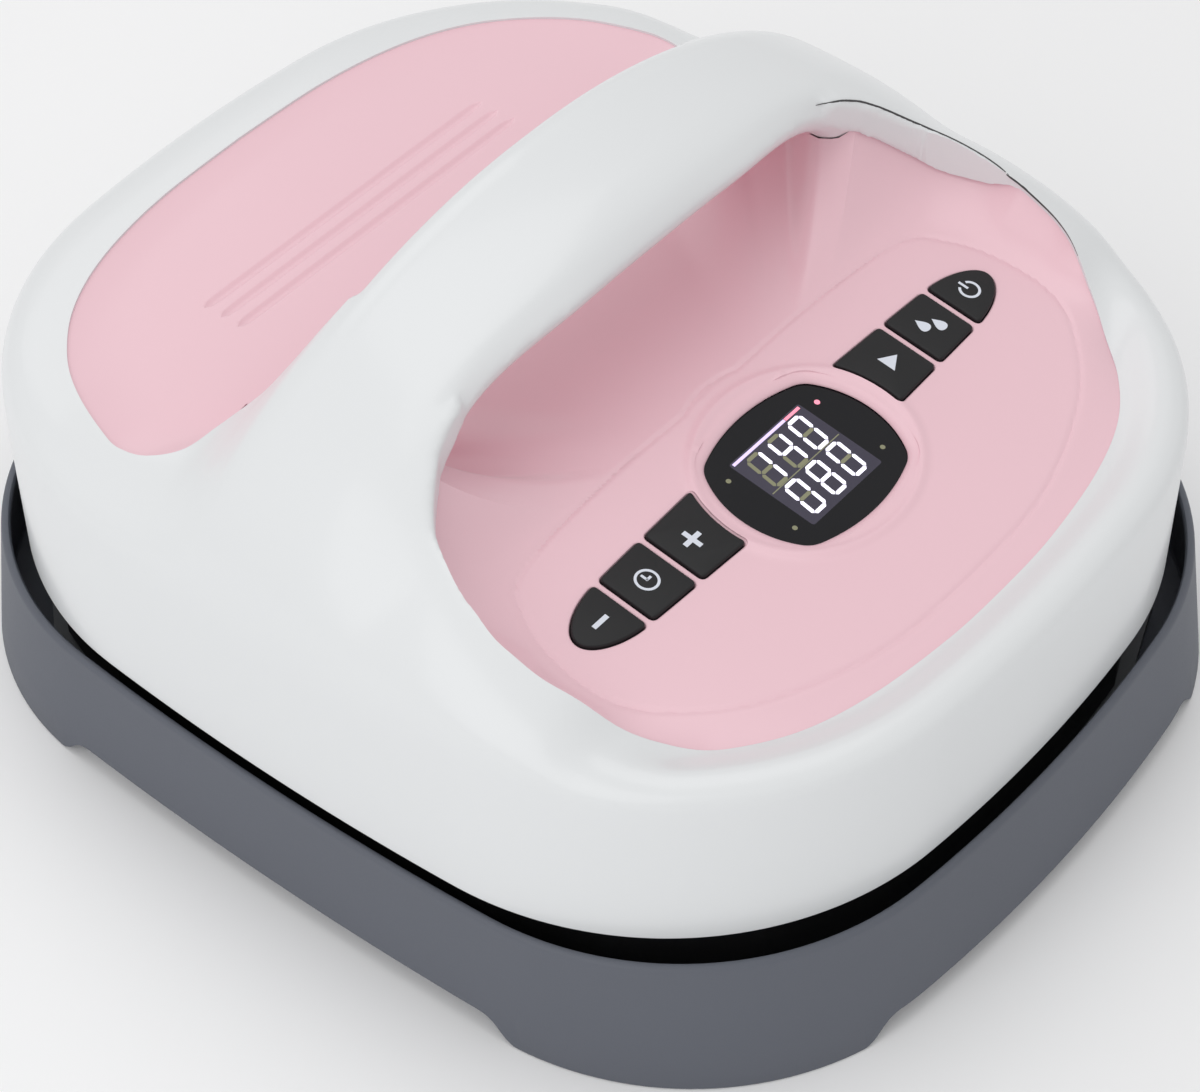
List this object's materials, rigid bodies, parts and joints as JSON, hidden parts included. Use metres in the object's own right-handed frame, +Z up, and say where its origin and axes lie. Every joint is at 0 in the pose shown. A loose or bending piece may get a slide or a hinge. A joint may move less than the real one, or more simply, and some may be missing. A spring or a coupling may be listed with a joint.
{
  "type": "craft heat press",
  "caption": "Hand-held craft heat press with an arched handle, a control panel with display and push buttons, and a separate safety base that it rests in.",
  "frame": {"origin": "under the middle of the safety base, on the surface that it stands on", "axes": "+X along the handle towards the power button, +Y from the control panel towards the rear, +Z up"},
  "size_m": [0.2984, 0.35, 0.1828],
  "materials": {
    "base_grey": "fine matt moulded grey",
    "pad_silicone": "matt silicone",
    "shell_white": "soft gloss moulded white",
    "deck_pink": "soft gloss moulded pink",
    "skirt_black": "matt black",
    "plate_coating": "dark non-stick coating on aluminium",
    "steel": "bright steel",
    "ceramic": "unglazed ceramic",
    "glass_wool": "felted fibre",
    "board_green": "solder mask over glass laminate",
    "parts_black": "moulded black",
    "display_dark": "polished dark window",
    "button_black": "satin black"
  },
  "bodies": {
    "base": {"safety_base": "base_grey", "insulation_pad": "pad_silicone"},
    "press": {"upper_shell": "shell_white", "handle_cover": "shell_white", "foot_lining_right": "shell_white", "foot_lining_left": "shell_white", "front_deck": "deck_pink", "rear_deck": "deck_pink", "lower_skirt": "skirt_black", "heat_plate": "plate_coating", "display_lens": "display_dark", "cord_inlet": "skirt_black", "board_screw_1": "steel", "board_screw_2": "steel", "board_screw_3": "steel", "board_screw_4": "steel", "plate_screw_1": "steel", "plate_screw_2": "steel", "plate_screw_3": "steel", "plate_screw_4": "steel", "shell_screw_1": "steel", "shell_screw_2": "steel", "shell_screw_3": "steel", "shell_screw_4": "steel", "plate_spacer_1": "ceramic", "plate_spacer_2": "ceramic", "plate_spacer_3": "ceramic", "plate_spacer_4": "ceramic", "element_clamp_1": "steel", "element_clamp_2": "steel", "element_clamp_3": "steel", "heating_element": "steel", "insulation_blanket": "glass_wool", "heat_shield": "steel", "control_board": "board_green", "display_module": "parts_black", "buzzer": "parts_black", "power_board": "board_green", "relay": "parts_black", "transformer": "steel", "capacitor": "parts_black", "temperature_sensor": "steel", "thermal_fuse": "ceramic", "switch_minus": "parts_black", "switch_set": "parts_black", "switch_plus": "parts_black", "switch_start": "parts_black", "switch_mode": "parts_black", "switch_power": "parts_black"},
    "button_minus": {"button_minus": "button_black"},
    "button_set": {"button_set": "button_black"},
    "button_plus": {"button_plus": "button_black"},
    "button_start": {"button_start": "button_black"},
    "button_mode": {"button_mode": "button_black"},
    "button_power": {"button_power": "button_black"}
  },
  "joints": [
    {"name": "press_lift", "type": "slide", "parent": "base", "child": "press", "axis": [0, 0, 1], "range_m": [0, 0.1]},
    {"name": "button_minus_press", "type": "slide", "parent": "press", "child": "button_minus", "axis": [0, 0.1647, -0.9863], "range_m": [0, 0.0008], "stiffness_N_per_m": 600, "springref_m": -0.0005},
    {"name": "button_set_press", "type": "slide", "parent": "press", "child": "button_set", "axis": [0, 0.1647, -0.9863], "range_m": [0, 0.0008], "stiffness_N_per_m": 600, "springref_m": -0.0005},
    {"name": "button_plus_press", "type": "slide", "parent": "press", "child": "button_plus", "axis": [0, 0.1647, -0.9863], "range_m": [0, 0.0008], "stiffness_N_per_m": 600, "springref_m": -0.0005},
    {"name": "button_start_press", "type": "slide", "parent": "press", "child": "button_start", "axis": [0, 0.1647, -0.9863], "range_m": [0, 0.0008], "stiffness_N_per_m": 600, "springref_m": -0.0005},
    {"name": "button_mode_press", "type": "slide", "parent": "press", "child": "button_mode", "axis": [0, 0.1647, -0.9863], "range_m": [0, 0.0008], "stiffness_N_per_m": 600, "springref_m": -0.0005},
    {"name": "button_power_press", "type": "slide", "parent": "press", "child": "button_power", "axis": [0, 0.1647, -0.9863], "range_m": [0, 0.0008], "stiffness_N_per_m": 600, "springref_m": -0.0005}
  ]
}
